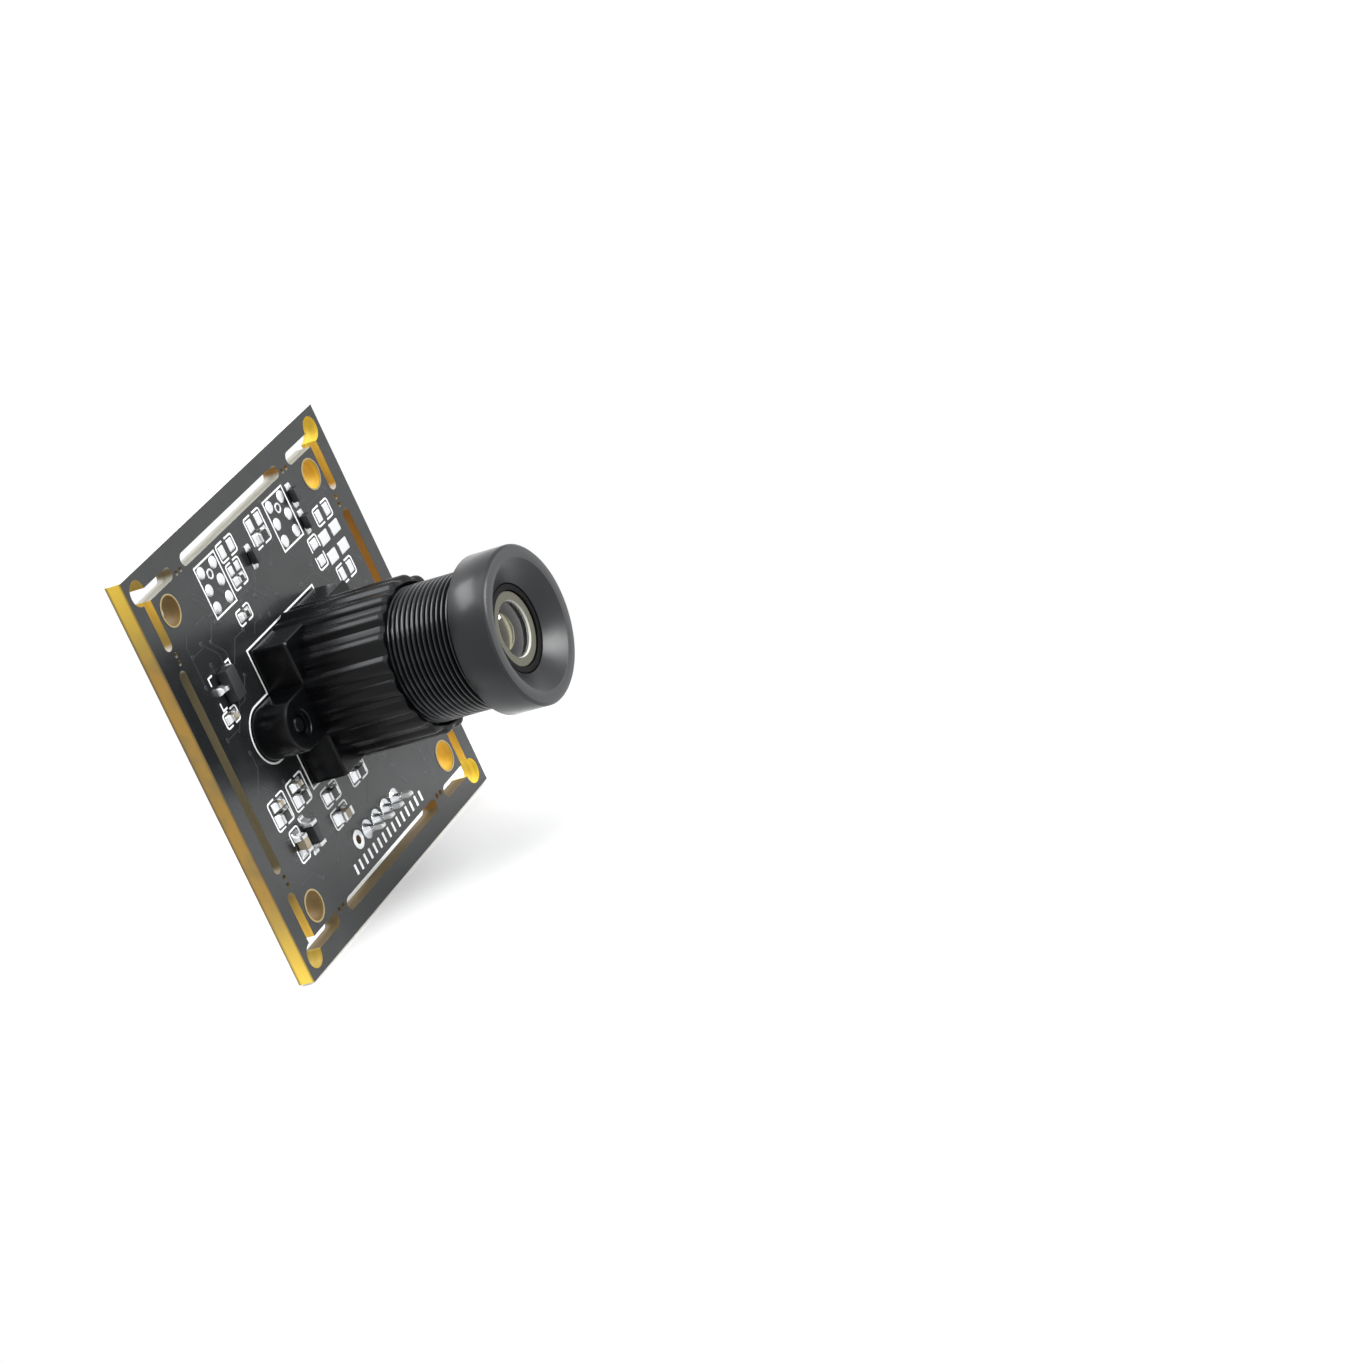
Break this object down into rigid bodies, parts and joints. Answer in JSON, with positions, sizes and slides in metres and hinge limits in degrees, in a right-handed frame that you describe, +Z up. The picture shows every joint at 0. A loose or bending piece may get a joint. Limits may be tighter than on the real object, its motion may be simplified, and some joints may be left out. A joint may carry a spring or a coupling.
{
  "type": "camera module",
  "caption": "Board camera module: a square circuit board with a screwed-on lens holder, a focusing threaded lens and a rear wire connector.",
  "frame": {"origin": "on the lens axis at the circuit board's front face, the centre of the board holes", "axes": "-Y is the way the lens looks, +X to the right seen from the lens side, +Z up"},
  "size_m": [0.038, 0.0301, 0.038],
  "materials": {
    "solder_mask": "satin",
    "tinned_pads": "bright",
    "white_ink": "matt",
    "holder_plastic": "satin",
    "black_screws": "satin",
    "sensor_case": "matt",
    "silicon": "bright",
    "clear_glass": "clear",
    "filter_glass": "clear",
    "lens_glass": "coated",
    "anodised_barrel": "satin",
    "black_ring": "matt",
    "connector_nylon": "satin",
    "tinned_leads": "bright",
    "solder": "bright",
    "chip_epoxy": "matt",
    "small_chip_epoxy": "matt",
    "ferrite": "matt",
    "brown_ceramic": "satin",
    "grey_ceramic": "satin",
    "resistor_glaze": "gloss"
  },
  "bodies": {
    "root": {"circuit_board": "solder_mask", "front_pads": "tinned_pads", "rear_pads": "tinned_pads", "front_legend": "white_ink", "rear_legend": "white_ink", "lens_holder": "holder_plastic", "holder_screws": "black_screws", "sensor_package": "sensor_case", "sensor_die": "silicon", "sensor_cover_glass": "clear_glass", "infrared_filter": "filter_glass", "connector_housing": "connector_nylon", "connector_pins": "tinned_leads", "connector_solder": "solder", "processor_body": "chip_epoxy", "processor_leads": "tinned_leads", "flash_memory_body": "chip_epoxy", "flash_memory_leads": "tinned_leads", "power_inductor_core": "ferrite", "power_inductor_ends": "solder", "core_regulator_body": "small_chip_epoxy", "core_regulator_leads": "tinned_leads", "supply_regulator_body": "small_chip_epoxy", "supply_regulator_leads": "tinned_leads", "lens_side_regulator_body": "small_chip_epoxy", "lens_side_regulator_leads": "tinned_leads", "signal_transistor_bodies": "small_chip_epoxy", "signal_transistor_leads": "tinned_leads", "rear_brown_capacitors": "brown_ceramic", "rear_grey_capacitors": "grey_ceramic", "rear_capacitor_ends": "solder", "rear_resistors": "resistor_glaze", "rear_resistor_ends": "solder", "front_brown_capacitor": "brown_ceramic", "front_grey_capacitors": "grey_ceramic", "front_capacitor_ends": "solder", "front_resistors": "resistor_glaze", "front_resistor_ends": "solder", "protection_diode_body": "small_chip_epoxy", "protection_diode_ends": "solder"},
    "optics": {"front_retaining_ring": "black_ring", "front_lens_element": "lens_glass", "front_lens_spacer": "black_ring", "middle_lens_element": "lens_glass", "aperture_stop": "black_ring", "rear_lens_spacer": "black_ring", "rear_lens_element": "lens_glass"},
    "barrel": {"lens_barrel": "anodised_barrel"}
  },
  "joints": [
    {"name": "focus_travel", "type": "slide", "parent": "root", "child": "optics", "axis": [0, -1, 0], "range_m": [-0.00125, 0.00125]},
    {"name": "focus_turn", "type": "hinge", "parent": "optics", "child": "barrel", "pos_m": [0, -0.012, 0], "axis": [0, -1, 0], "range_deg": [-920, 920]}
  ],
  "couplings": [
    {"joint": "focus_turn", "follows": "focus_travel", "rad_per_m": 12566}
  ]
}
